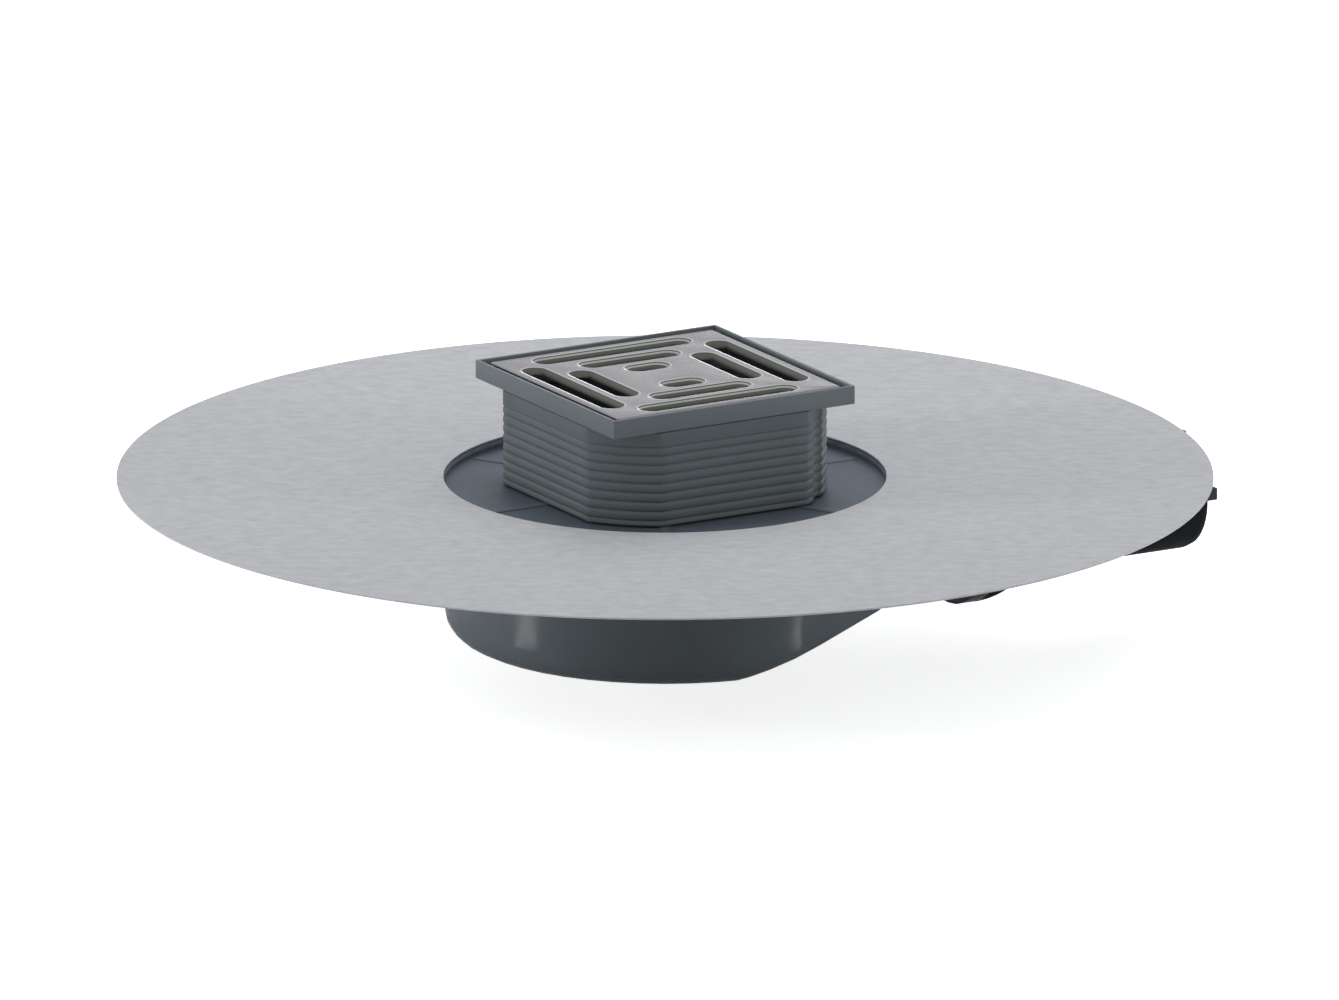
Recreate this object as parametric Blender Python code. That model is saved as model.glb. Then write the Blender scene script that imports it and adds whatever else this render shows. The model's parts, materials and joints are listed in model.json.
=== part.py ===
"""Floor drain with a round sealing collar, a ribbed height extension and a DN 50 ball outlet.

Everything is in metres. The origin is on the drain's axis at the flat underside of the bowl,
+Z points up and the outlet leaves along +X.
"""
import math

import bmesh
import bpy
from mathutils import Matrix, Vector

# Clearances
SEAT_GAP = 0.0003          # between pieces that touch
SLIDE_GAP = 0.0012         # between the neck and the throat it slides in
RIM_GAP = 0.0030           # between the grate and the frame's rim
CUP_GAP = 0.0025           # between the trap cup and the seat it is lifted through
RAMP_GAP = 0.0014          # between the trap cup and the bowl's rising floor
END_GAP = 0.0005           # between the throat and the bowl's flat end
EDGE_GAP = 0.0001          # between the collar's hole and the dish's edge

# Facets
BODY_STEPS = 48            # around the bowl, the flange and the seal between them
ROUND_STEPS = 32           # around the neck and the odour trap
SMALL_STEPS = 28           # around the outlet
COLLAR_STEPS = 72          # around the collar
RING_SECTION_STEPS = 6     # around the section of a round ring
CORNER_STEPS = 5           # along each rounded corner of the square pieces

# Bowl
BOWL_R = 0.0954
BOWL_WALL = 0.003
BOWL_FILLET = 0.0125
SIDE_NORMAL = math.radians(80.4)   # direction that each flat side wall faces
RAMP_START_X = -0.012              # where the underside starts to rise
RAMP_SLOPE = 0.30
TUBE_TO_RIM = 0.0076               # from the top of the outlet tube to the bowl's rim

# Dish flange, welded on the bowl
DISH_R = 0.0956
DISH_DEPTH = 0.0042
DISH_FLOOR_T = 0.0025
DISH_WALL = 0.0022
DISH_FILLET = 0.0016
FLANGE_W = 0.0224
FLANGE_T = 0.0025
COVER_T = 0.0022            # plate that closes the bowl outside the dish
TONGUE_T = 0.0024
TONGUE_H = 0.0050
RIB_COUNT_DISH = 6
DISH_RIB_W = 0.0042
DISH_RIB_H = 0.0005
THROAT_WALL = 0.0024
THROAT_L = 0.0213
SEAL_GROOVE_H = 0.0050
SEAL_GROOVE_DEPTH = 0.0036
SEAL_GROOVE_DROP = 0.0041

# Sealing collar
COLLAR_R = 0.2370
COLLAR_T = 0.0007

# Frame
FRAME_HALF = 0.0600
FRAME_H = 0.0081
FRAME_RIM_T = 0.0015
FRAME_FLOOR_T = 0.0023
FRAME_LIP_T = 0.0018
FRAME_LIP_H = 0.0050
MOAT_W = 0.0028
GRATE_SEAT_W = 0.0022

# Grate
GRATE_T = 0.0015
GRATE_DROP = 0.0006        # how far the grate lies below the frame's rim
GRATE_CORNER_R = 0.0012
SLOT_HALF_W = 0.0040
SLOT_ROLL = 0.0026         # how far the rolled edge spreads beyond the opening
SLOT_DEPTH = 0.0030
SLOT_RINGS = 3
SLOT_GROWTH = 0.0020       # how much longer each slot inward is than its square asks
SLOT_SIDE_MARGIN = 0.00975  # from the outermost slots' middle lines to the grate's edge
SLOT_END_MARGIN = 0.0158   # from the outermost slots' ends to the grate's edge

# Extension piece
SKIRT_INSET = 0.0003       # the skirt stands this far back from the frame's rim
SKIRT_CORNER = 0.0103      # how much farther out the rounded corners are than the flat sides
SKIRT_H = 0.0418
SKIRT_WALL = 0.0022
SKIRT_CORNER_WALL = 0.0047
RIB_COUNT = 8
RIB_PITCH = 0.00412
RIB_DEPTH = 0.00085
FIRST_RIB_DROP = 0.0086    # from the skirt's top to the middle of the highest whole rib
GROOVE_ANGLE = math.radians(-49.0)
GROOVE_HALF_ANGLE = math.radians(4.5)
GROOVE_DEPTH = 0.0030
DECK_RISE = 0.0064
DECK_T = 0.0025
NECK_INSET = 0.0072        # from the skirt's flat side to the throat
NECK_WALL = 0.0020
NECK_L = 0.0296

# Odour trap, seated in the extension's neck
TRAP_WALL = 0.0023
TRAP_SEAT_DROP = 0.0065
TRAP_SEAT_T = 0.0020
TRAP_SEAT_W = 0.0035
TRAP_FLANGE_GAP = 0.0010
TRAP_FLANGE_H = 0.0054
TRAP_GROOVE_DEPTH = 0.0022
TRAP_GROOVE_H = 0.0034
WATER_W = 0.0125           # between the dip tube and the cup
DIP_WALL = 0.0018
DIP_GAP = 0.0050           # between the dip tube's end and the cup's floor
FIN_COUNT = 3
FIN_T = 0.0020
FIN_DROP = 0.0020
FIN_H = 0.0145
CUP_WALL = 0.0020
CUP_DROP = 0.0055
CUP_FILLET = 0.0080
HANDLE_W = 0.0060
HANDLE_H = 0.0090
HANDLE_T = 0.0030

# Outlet tube and ball socket
OUTLET_Z = 0.0294
NECK_BORE_R = 0.0225
NECK_TUBE_WALL = 0.0030
BALL_X = 0.1490
BALL_R = 0.0298
BALL_WALL = 0.0023
BALL_MOUTH = math.radians(137.0)
SOCKET_WALL = 0.0034
SOCKET_SHELL = 0.0013      # wall behind the seal's groove
SOCKET_BACK = 0.0078
SOCKET_FRONT = 0.0004
NUT_SKIRT_T = 0.0014
NUT_SKIRT_L = 0.0060
NUT_MOUTH_IN = math.radians(66.0)   # the mouth narrows outward, as far as the tilted neck lets it
NUT_MOUTH_OUT = math.radians(63.0)
SEAL_START = math.radians(106.0)
SEAL_END = math.radians(115.0)
SEAL_T = 0.0022
RING_START = math.radians(78.0)
RING_END = math.radians(88.0)
RING_T = 0.0010

# Outlet spigot and its plug
SPIGOT_R = 0.0250
SPIGOT_WALL = 0.0018
SPIGOT_REACH = 0.1095      # from the ball's centre to the pipe's end
SPIGOT_CHAMFER = 0.0034
SPIGOT_TIP_DROP = 0.0011
WAIST_DROP = 0.0035
WAIST_L = 0.0034
FLARE_L = 0.0070
PLUG_DEPTH = 0.0140
PLUG_WALL = 0.0018
PLUG_FACE_T = 0.0020
GRIP_W = 0.0285
GRIP_T = 0.0042
GRIP_OUT = 0.0107
TAB_W = 0.0030
TAB_T = 0.0022
TAB_RISE = 0.0016

# Sizes that follow from the ones above: heights, from the outlet up to the grate
BOWL_RIM_Z = OUTLET_Z + NECK_BORE_R + NECK_TUBE_WALL + TUBE_TO_RIM
DISH_UNDER_Z = BOWL_RIM_Z + SEAT_GAP
DISH_FLOOR_Z = DISH_UNDER_Z + DISH_FLOOR_T
DISH_RIB_TOP_Z = DISH_FLOOR_Z + DISH_RIB_H
FLANGE_TOP_Z = DISH_FLOOR_Z + DISH_DEPTH
COLLAR_TOP_Z = FLANGE_TOP_Z + SEAT_GAP + COLLAR_T
THROAT_END_Z = DISH_FLOOR_Z - THROAT_L
SEAL_GROOVE_TOP_Z = DISH_FLOOR_Z - SEAL_GROOVE_DROP
SKIRT_BOTTOM_Z = DISH_RIB_TOP_Z + SEAT_GAP
SKIRT_TOP_Z = SKIRT_BOTTOM_Z + SKIRT_H
FIRST_RIB_Z = SKIRT_TOP_Z - FIRST_RIB_DROP
DECK_TOP_Z = SKIRT_BOTTOM_Z + DECK_RISE
NECK_END_Z = SKIRT_BOTTOM_Z - NECK_L
TRAP_SEAT_Z = DECK_TOP_Z - TRAP_SEAT_DROP
CUP_TOP_Z = TRAP_SEAT_Z - CUP_DROP
FIN_TOP_Z = CUP_TOP_Z - FIN_DROP
FIN_BOTTOM_Z = FIN_TOP_Z - FIN_H
FRAME_TOP_Z = SKIRT_TOP_Z + SEAT_GAP + FRAME_H
GRATE_TOP_Z = FRAME_TOP_Z - GRATE_DROP

# Widths, from the frame in to the dip tube
RIM_HALF = FRAME_HALF - FRAME_RIM_T
GRATE_HALF = RIM_HALF - RIM_GAP
FRAME_OPENING_HALF = RIM_HALF - MOAT_W - GRATE_SEAT_W
SLOT_PITCH = (GRATE_HALF - SLOT_SIDE_MARGIN) / SLOT_RINGS
LONG_SLOT = 2 * (GRATE_HALF - SLOT_END_MARGIN)
SLOT_STEP = 2 * SLOT_PITCH - SLOT_GROWTH   # each slot inward is shorter by this
SKIRT_HALF = FRAME_HALF - SKIRT_INSET
SKIRT_R = SKIRT_HALF + SKIRT_CORNER
THROAT_R = SKIRT_HALF - NECK_INSET
NECK_R = THROAT_R - SLIDE_GAP
TRAP_BORE_R = NECK_R - TRAP_WALL
TRAP_SEAT_BORE_R = TRAP_BORE_R - TRAP_SEAT_W
CUP_R = TRAP_SEAT_BORE_R - CUP_GAP
DIP_BORE_R = CUP_R - CUP_WALL - WATER_W - DIP_WALL
FLANGE_R = DISH_R + FLANGE_W
COLLAR_HOLE_R = DISH_R + EDGE_GAP
THROAT_OUT_R = THROAT_R + SEAL_GROOVE_DEPTH + THROAT_WALL
COVER_HOLE_R = (THROAT_OUT_R + DISH_R) / 2
SHOULDER_X = THROAT_OUT_R + END_GAP + BOWL_WALL    # flat end of the housing on the outlet side

# The cup hangs as low as the bowl's rising floor lets its rounded edge go
RAMP_STRETCH = math.hypot(1, RAMP_SLOPE)
CUP_BOTTOM_Z = (RAMP_SLOPE * (CUP_R - CUP_FILLET - RAMP_START_X)
                + RAMP_STRETCH * (BOWL_WALL + RAMP_GAP + CUP_FILLET) - CUP_FILLET)
DIP_END_Z = CUP_BOTTOM_Z + CUP_WALL + DIP_GAP

# Outlet
CAVITY_R = BALL_R + RING_T + 2 * SEAT_GAP
SEAL_GROOVE_R = BALL_R + SEAL_T + 2 * SEAT_GAP
SOCKET_R = CAVITY_R + SOCKET_WALL
SOCKET_SHOULDER_X = BALL_X - SOCKET_BACK
SOCKET_END_X = BALL_X + SOCKET_FRONT
SPIGOT_NECK_R = SPIGOT_R - WAIST_DROP
SPIGOT_BORE_R = SPIGOT_R - SPIGOT_WALL
SPIGOT_TIP_R = SPIGOT_R - SPIGOT_TIP_DROP
SPIGOT_END_X = BALL_X + SPIGOT_REACH
FLARE_START_X = BALL_X + math.sqrt(BALL_R ** 2 - SPIGOT_NECK_R ** 2) + WAIST_L
FLARE_END_X = FLARE_START_X + FLARE_L
TAB_R = SPIGOT_R + TAB_RISE


def clear_scene():
    for item in list(bpy.data.objects):
        bpy.data.objects.remove(item, do_unlink=True)


def make_material(name, colour, roughness, metallic=0.0):
    material = bpy.data.materials.new(name)
    material.use_nodes = True
    shader = material.node_tree.nodes["Principled BSDF"]
    shader.inputs["Base Color"].default_value = (*colour, 1.0)
    shader.inputs["Roughness"].default_value = roughness
    shader.inputs["Metallic"].default_value = metallic
    material.diffuse_color = (*colour, 1.0)
    return material


def add_object(name, bm, pivot=(0, 0, 0)):
    """Turn a bmesh drawn in world coordinates into an object whose origin is at the pivot."""
    bmesh.ops.remove_doubles(bm, verts=bm.verts, dist=1e-6)
    bmesh.ops.recalc_face_normals(bm, faces=bm.faces)
    mesh = bpy.data.meshes.new(name)
    bm.to_mesh(mesh)
    bm.free()
    mesh.transform(Matrix.Translation(-Vector(pivot)))
    item = bpy.data.objects.new(name, mesh)
    item.location = pivot
    bpy.context.scene.collection.objects.link(item)
    return item


def dress(item, colour, roughness, metallic=0.0, angle=35):
    item.data.materials.append(make_material(item.name, colour, roughness, metallic))
    item.data.shade_smooth()
    item.data.set_sharp_from_angle(angle=math.radians(angle))
    return item


def hide_tool(item):
    item.hide_render = True
    item.display_type = "WIRE"
    return item


def combine(item, tool, operation):
    """Add a Boolean with a hidden tool object."""
    hide_tool(tool)
    modifier = item.modifiers.new(tool.name, "BOOLEAN")
    modifier.operation = operation
    modifier.solver = "EXACT"
    modifier.object = tool


def turned(name, profile, steps, axis="Z", pivot=(0, 0, 0)):
    """Spin a closed profile of (along, radius) points about the Z axis or the outlet's axis."""
    bm = bmesh.new()
    if axis == "Z":
        points = [(radius, 0, along) for along, radius in profile]
        centre, direction = (0, 0, 0), (0, 0, 1)
    else:
        points = [(along, 0, OUTLET_Z + radius) for along, radius in profile]
        centre, direction = (0, 0, OUTLET_Z), (1, 0, 0)
    verts = [bm.verts.new(point) for point in points]
    edges = [bm.edges.new((verts[i - 1], verts[i])) for i in range(len(verts))]
    bmesh.ops.spin(bm, geom=verts + edges, cent=centre, axis=direction, dvec=(0, 0, 0),
                   angle=math.tau, steps=steps, use_merge=True, use_duplicate=False)
    return add_object(name, bm, pivot)


def lofted(name, rings, pivot=(0, 0, 0)):
    """Skin a stack of rings that have the same number of points, and close both ends."""
    bm = bmesh.new()
    rows = [[bm.verts.new(point) for point in ring] for ring in rings]
    count = len(rows[0])
    for low, high in zip(rows, rows[1:]):
        for i in range(count):
            j = (i + 1) % count
            bm.faces.new((low[i], low[j], high[j], high[i]))
    bm.faces.new(rows[0])
    bm.faces.new(rows[-1])
    return add_object(name, bm, pivot)


def box(name, low, high, pivot=(0, 0, 0)):
    rings = []
    for z in (low[2], high[2]):
        rings.append([(low[0], low[1], z), (high[0], low[1], z), (high[0], high[1], z), (low[0], high[1], z)])
    return lofted(name, rings, pivot)


def arc(centre_along, radius, start, end, steps):
    """Points (along, radius) on a circle about the axis; angles are measured from the +along end."""
    points = []
    for i in range(steps + 1):
        angle = start + (end - start) * i / steps
        points.append((centre_along + radius * math.cos(angle), radius * math.sin(angle)))
    return points


def fillet(corner, before, after, radius, steps=3):
    """Round one corner of a profile; before and after are unit steps away from the corner."""
    corner = Vector(corner)
    before = Vector(before).normalized()
    after = Vector(after).normalized()
    half = before.angle(after) / 2
    reach = radius / math.tan(half)
    centre = corner + (before + after).normalized() * radius / math.sin(half)
    start = corner + before * reach - centre
    end = corner + after * reach - centre
    turn = start.angle(end)
    points = []
    for i in range(steps + 1):
        share = i / steps
        point = start * math.sin((1 - share) * turn) + end * math.sin(share * turn)
        points.append(tuple(centre + point / math.sin(turn)))
    return points


def bowl_slice(z, wall):
    """Outline of the bowl at one height: a circle, two flat sides and the rising end."""
    edge = BOWL_FILLET - wall
    rise = min(z - wall, edge)
    spread = math.sqrt(edge ** 2 - (edge - rise) ** 2)
    core_r = BOWL_R - BOWL_FILLET
    ramp_x = RAMP_START_X + (z - wall * RAMP_STRETCH) / RAMP_SLOPE
    core_x = min(ramp_x, SHOULDER_X - wall) - spread
    if core_x > core_r * math.cos(SIDE_NORMAL):
        corner = (core_x, (core_r - math.cos(SIDE_NORMAL) * core_x) / math.sin(SIDE_NORMAL))
        limit = SIDE_NORMAL
    else:
        limit = math.acos(core_x / core_r)
        corner = (core_r * math.cos(limit), core_r * math.sin(limit))
    half = BODY_STEPS // 2
    normals = sorted([math.pi * i / half for i in range(half + 1)] + [SIDE_NORMAL, SIDE_NORMAL + 1e-6])
    upper = []
    for normal in normals:
        centre = corner
        if normal > limit:
            centre = (core_r * math.cos(normal), core_r * math.sin(normal))
        upper.append((centre[0] + spread * math.cos(normal), centre[1] + spread * math.sin(normal), z))
    lower = [(x, -y, z) for x, y, z in reversed(upper[:-1])]
    return upper + lower


def at_height(ring, z):
    return [(x, y, z) for x, y, _ in ring]


def bowl_levels(wall, top):
    """Heights of the bowl's slices: close together round the lower edge, then up the ramp."""
    edge = BOWL_FILLET - wall
    levels = [wall + edge * (1 - math.cos(math.radians(angle))) for angle in (0, 18, 36, 54, 72, 90)]
    ramp_top = RAMP_SLOPE * (SHOULDER_X - wall - RAMP_START_X) + wall * RAMP_STRETCH
    levels += [ramp_top, top]
    return levels


def build_bowl():
    """Lower moulding: the bowl, its flat shoulders, the outlet tube and the ball socket."""
    bowl = lofted("drain_bowl", [bowl_slice(z, 0.0) for z in bowl_levels(0.0, BOWL_RIM_Z)])
    tube_r = NECK_BORE_R + NECK_TUBE_WALL
    shell_r = SEAL_GROOVE_R + SOCKET_SHELL
    shell_end = math.pi - math.asin(tube_r / shell_r)
    shell_start = math.acos((SOCKET_SHOULDER_X - BALL_X) / shell_r)
    outside = [(0.0, 0.0), (0.0, tube_r)]
    outside += list(reversed(arc(BALL_X, shell_r, shell_start, shell_end, 4)))
    outside += [(SOCKET_SHOULDER_X, SOCKET_R), (SOCKET_END_X, SOCKET_R), (SOCKET_END_X, 0.0)]
    combine(bowl, turned("tool_outlet_outside", outside, SMALL_STEPS, "X"), "UNION")
    inner = [bowl_slice(z, BOWL_WALL) for z in bowl_levels(BOWL_WALL, BOWL_RIM_Z + 0.004)]
    combine(bowl, lofted("tool_bowl_inside", inner), "DIFFERENCE")
    step_r = CAVITY_R + NUT_SKIRT_T + SEAT_GAP
    step_x = SOCKET_END_X - NUT_SKIRT_L
    ball_throat = math.pi - math.asin(NECK_BORE_R / CAVITY_R)
    inside = [(0.020, 0.0), (0.020, NECK_BORE_R)]
    inside += list(reversed(arc(BALL_X, CAVITY_R, SEAL_END, ball_throat, 3)))
    inside += list(reversed(arc(BALL_X, SEAL_GROOVE_R, SEAL_START, SEAL_END, 2)))
    shoulder = math.acos((step_x - BALL_X) / CAVITY_R)
    inside += list(reversed(arc(BALL_X, CAVITY_R, shoulder, SEAL_START, 1)))
    inside += [(step_x, step_r), (SOCKET_END_X + 0.004, step_r), (SOCKET_END_X + 0.004, 0.0)]
    combine(bowl, turned("tool_outlet_inside", inside, SMALL_STEPS, "X"), "DIFFERENCE")
    return dress(bowl, (0.085, 0.098, 0.108), 0.38)


def build_flange():
    """Upper moulding: the bonding flange, the dish with its ribs, and the throat with a seal groove."""
    wall_r = DISH_R + DISH_WALL
    throat_out = THROAT_R + THROAT_WALL
    groove_r = THROAT_R + SEAL_GROOVE_DEPTH
    groove_low = SEAL_GROOVE_TOP_Z - SEAL_GROOVE_H
    profile = [(FLANGE_TOP_Z, FLANGE_R), (FLANGE_TOP_Z, DISH_R)]
    profile += fillet((DISH_FLOOR_Z, DISH_R), (1, 0), (0, -1), DISH_FILLET, 3)
    profile += [(DISH_FLOOR_Z, THROAT_R), (SEAL_GROOVE_TOP_Z, THROAT_R), (SEAL_GROOVE_TOP_Z, groove_r),
                (groove_low, groove_r), (groove_low, THROAT_R), (THROAT_END_Z, THROAT_R),
                (THROAT_END_Z, throat_out), (groove_low - THROAT_WALL, throat_out),
                (groove_low - THROAT_WALL + 0.001, THROAT_OUT_R), (DISH_UNDER_Z, THROAT_OUT_R),
                (DISH_UNDER_Z, wall_r),
                (FLANGE_TOP_Z - FLANGE_T, wall_r), (FLANGE_TOP_Z - FLANGE_T, FLANGE_R)]
    flange = turned("drain_flange", profile, BODY_STEPS)
    cover = [at_height(bowl_slice(BOWL_RIM_Z, 0.0), z) for z in (DISH_UNDER_Z, DISH_UNDER_Z + COVER_T)]
    cover = lofted("tool_cover", cover)
    hole = [(DISH_UNDER_Z - 0.002, 0.0), (DISH_UNDER_Z - 0.002, COVER_HOLE_R),
            (DISH_FLOOR_Z + 0.002, COVER_HOLE_R), (DISH_FLOOR_Z + 0.002, 0.0)]
    combine(cover, turned("tool_cover_hole", hole, BODY_STEPS), "DIFFERENCE")
    combine(flange, cover, "UNION")
    inset = BOWL_WALL + SEAT_GAP
    outer = bowl_slice(BOWL_RIM_Z, inset)
    inner = bowl_slice(BOWL_RIM_Z, inset + TONGUE_T)
    low = DISH_UNDER_Z - TONGUE_H
    tongue = lofted("tool_tongue", [at_height(outer, z) for z in (low, DISH_UNDER_Z + 0.001)])
    hollow = lofted("tool_tongue_hollow", [at_height(inner, z) for z in (low - 0.002, DISH_UNDER_Z + 0.002)])
    combine(tongue, hollow, "DIFFERENCE")
    combine(flange, tongue, "UNION")
    for i in range(RIB_COUNT_DISH):
        rib = box("tool_dish_rib_%d" % i, (THROAT_R + 0.003, -DISH_RIB_W / 2, DISH_FLOOR_Z - 0.001),
                  (DISH_R + 0.001, DISH_RIB_W / 2, DISH_RIB_TOP_Z))
        rib.rotation_euler.z = math.tau * i / RIB_COUNT_DISH
        combine(flange, rib, "UNION")
    return dress(flange, (0.110, 0.127, 0.142), 0.42)


def build_collar():
    """Sealing collar: a flat ring of fleece membrane bonded on the flange."""
    low = COLLAR_TOP_Z - COLLAR_T
    profile = [(low, COLLAR_R), (COLLAR_TOP_Z, COLLAR_R), (COLLAR_TOP_Z, COLLAR_HOLE_R), (low, COLLAR_HOLE_R)]
    return dress(turned("sealing_collar", profile, COLLAR_STEPS), (0.50, 0.505, 0.53), 0.9)


def corner_arc(radius, half, quarter):
    """Points along one rounded corner, with the guide groove where that corner has one."""
    limit = math.acos(half / radius)
    start = limit + quarter * math.pi / 2
    end = math.pi / 2 - limit + quarter * math.pi / 2
    return start, end


def square_outline(half, radius, z, groove=0.0):
    """A square whose corners are arcs about the axis; two opposite corners can have a groove."""
    points = []
    for quarter in range(4):
        start, end = corner_arc(radius, half, quarter)
        angles = [(start + (end - start) * i / CORNER_STEPS, radius) for i in range(CORNER_STEPS + 1)]
        if groove and quarter in (1, 3):
            middle = (GROOVE_ANGLE + (math.tau if quarter == 3 else math.pi))
            low, high = middle - GROOVE_HALF_ANGLE, middle + GROOVE_HALF_ANGLE
            angles = [pair for pair in angles if not low - 0.01 < pair[0] < high + 0.01]
            angles += [(low, radius), (low, radius - groove), (middle, radius - groove),
                       (high, radius - groove), (high, radius)]
            angles.sort(key=lambda pair: (round(pair[0], 6), abs(pair[1] - radius) * (middle - pair[0])))
        for angle, distance in angles:
            points.append((distance * math.cos(angle), distance * math.sin(angle), z))
    return points


def skirt_levels():
    """Heights and inward offsets down the skirt: a plain band, then round ribs with sharp notches."""
    levels = [(SKIRT_TOP_Z, 0.0), (FIRST_RIB_Z + RIB_PITCH, 0.0)]
    middles = [FIRST_RIB_Z + RIB_PITCH - RIB_PITCH * i for i in range(RIB_COUNT + 2)]
    for middle in middles:
        for share in (-1.0, -0.45, 0.45, 1.0):
            z = middle - share * RIB_PITCH / 2
            if SKIRT_BOTTOM_Z < z < levels[-1][0] - 1e-5:
                levels.append((z, RIB_DEPTH * share ** 2))
    levels.append((SKIRT_BOTTOM_Z, RIB_DEPTH * 0.04))
    return levels


def build_extension():
    """Extension piece: ribbed square skirt, deck and round neck with the trap's seat."""
    rings = []
    for z, inset in reversed(skirt_levels()):
        rings.append(square_outline(SKIRT_HALF - inset, SKIRT_R - inset, z, GROOVE_DEPTH))
    skirt = lofted("extension_piece", rings)
    inner_half = SKIRT_HALF - RIB_DEPTH - SKIRT_WALL
    inner_r = SKIRT_R - RIB_DEPTH - SKIRT_CORNER_WALL
    upper = [square_outline(inner_half, inner_r, z) for z in (DECK_TOP_Z, SKIRT_TOP_Z + 0.004)]
    combine(skirt, lofted("tool_skirt_upper", upper), "DIFFERENCE")
    lower = [square_outline(inner_half, inner_r, z) for z in (SKIRT_BOTTOM_Z - 0.004, DECK_TOP_Z - DECK_T)]
    combine(skirt, lofted("tool_skirt_lower", lower), "DIFFERENCE")
    deck_z = DECK_TOP_Z - DECK_T / 2
    neck = [(NECK_END_Z, 0.0), (NECK_END_Z, NECK_R), (deck_z, NECK_R), (deck_z, 0.0)]
    combine(skirt, turned("tool_neck_outside", neck, ROUND_STEPS), "UNION")
    bore_r = NECK_R - NECK_WALL
    bore = [(NECK_END_Z - 0.004, 0.0), (NECK_END_Z - 0.004, bore_r),
            (TRAP_SEAT_Z - TRAP_SEAT_T - (bore_r - TRAP_SEAT_BORE_R), bore_r),
            (TRAP_SEAT_Z - TRAP_SEAT_T, TRAP_SEAT_BORE_R), (TRAP_SEAT_Z, TRAP_SEAT_BORE_R),
            (TRAP_SEAT_Z, TRAP_BORE_R), (DECK_TOP_Z - 0.0006, TRAP_BORE_R),
            (DECK_TOP_Z + 0.0014, TRAP_BORE_R + 0.0020), (DECK_TOP_Z + 0.0014, 0.0)]
    combine(skirt, turned("tool_neck_bore", bore, ROUND_STEPS), "DIFFERENCE")
    return dress(skirt, (0.118, 0.135, 0.145), 0.45, angle=25)


def build_lip_seal():
    """Rubber ring in the throat's groove, with a lip that wipes the neck."""
    low = SEAL_GROOVE_TOP_Z - SEAL_GROOVE_H + SEAT_GAP
    high = SEAL_GROOVE_TOP_Z - SEAT_GAP
    back = THROAT_R + SEAL_GROOVE_DEPTH - SEAT_GAP
    lip = NECK_R + SEAT_GAP
    middle = (low + high) / 2
    profile = [(low, back), (high, back), (high, THROAT_R + 0.0006), (middle + 0.0006, THROAT_R + 0.0006),
               (middle, lip), (low + 0.0005, lip), (low, THROAT_R + 0.0006)]
    return dress(turned("extension_lip_seal", profile, BODY_STEPS), (0.02, 0.02, 0.022), 0.6)


def build_frame():
    """Square frame: thin outer rim, a moat, a seat for the grate and a lip inside the skirt."""
    bottom = SKIRT_TOP_Z + SEAT_GAP
    floor_z = bottom + FRAME_FLOOR_T
    seat_z = GRATE_TOP_Z - GRATE_T - SEAT_GAP
    frame = box("frame", (-FRAME_HALF, -FRAME_HALF, bottom), (FRAME_HALF, FRAME_HALF, FRAME_TOP_Z))
    seat_half = RIM_HALF - MOAT_W
    above = FRAME_TOP_Z + 0.004
    top = box("tool_frame_top", (-RIM_HALF, -RIM_HALF, seat_z), (RIM_HALF, RIM_HALF, above))
    combine(frame, top, "DIFFERENCE")
    moat = box("tool_frame_moat", (-RIM_HALF, -RIM_HALF, floor_z), (RIM_HALF, RIM_HALF, seat_z + 0.001))
    island = box("tool_frame_island", (-seat_half, -seat_half, floor_z - 0.001),
                 (seat_half, seat_half, seat_z + 0.002))
    combine(moat, island, "DIFFERENCE")
    combine(frame, moat, "DIFFERENCE")
    lip_half = SKIRT_HALF - RIB_DEPTH - SKIRT_WALL - SEAT_GAP
    lip_r = SKIRT_R - RIB_DEPTH - SKIRT_CORNER_WALL - SEAT_GAP
    lip = [square_outline(lip_half, lip_r, z) for z in (bottom - FRAME_LIP_H, bottom + 0.001)]
    combine(frame, lofted("tool_frame_lip", lip), "UNION")
    lip_half -= FRAME_LIP_T
    lip_r -= FRAME_LIP_T
    hollow = [square_outline(lip_half, lip_r, z) for z in (bottom - FRAME_LIP_H - 0.004, bottom)]
    combine(frame, lofted("tool_frame_hollow", hollow), "DIFFERENCE")
    half = FRAME_OPENING_HALF
    combine(frame, box("tool_frame_opening", (-half, -half, bottom - 0.004), (half, half, seat_z + 0.004)),
            "DIFFERENCE")
    return dress(frame, (0.150, 0.172, 0.182), 0.45)


def stadium(half_length, radius, z, centre, along_x):
    """Outline of a slot with round ends."""
    points = []
    steps = 5
    for side in (1, -1):
        for i in range(steps + 1):
            angle = (i / steps - 0.5) * math.pi
            u = side * (half_length - SLOT_HALF_W - SLOT_ROLL + radius * math.cos(angle))
            v = side * radius * math.sin(angle)
            points.append((u, v))
    if along_x:
        return [(centre[0] + u, centre[1] + v, z) for u, v in points]
    return [(centre[0] - v, centre[1] + u, z) for u, v in points]


def slot_places():
    """Centre, length and direction of each slot: long ones outside, shorter ones inward."""
    places = []
    for ring in range(SLOT_RINGS, 1, -1):
        length = LONG_SLOT - (SLOT_RINGS - ring) * SLOT_STEP
        for side in (1, -1):
            places.append(((side * ring * SLOT_PITCH, 0), length, False))
            places.append(((0, side * ring * SLOT_PITCH), length, True))
    for side in (1, -1):
        places.append(((0, side * SLOT_PITCH), LONG_SLOT - (SLOT_RINGS - 1) * SLOT_STEP, True))
    return places


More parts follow.
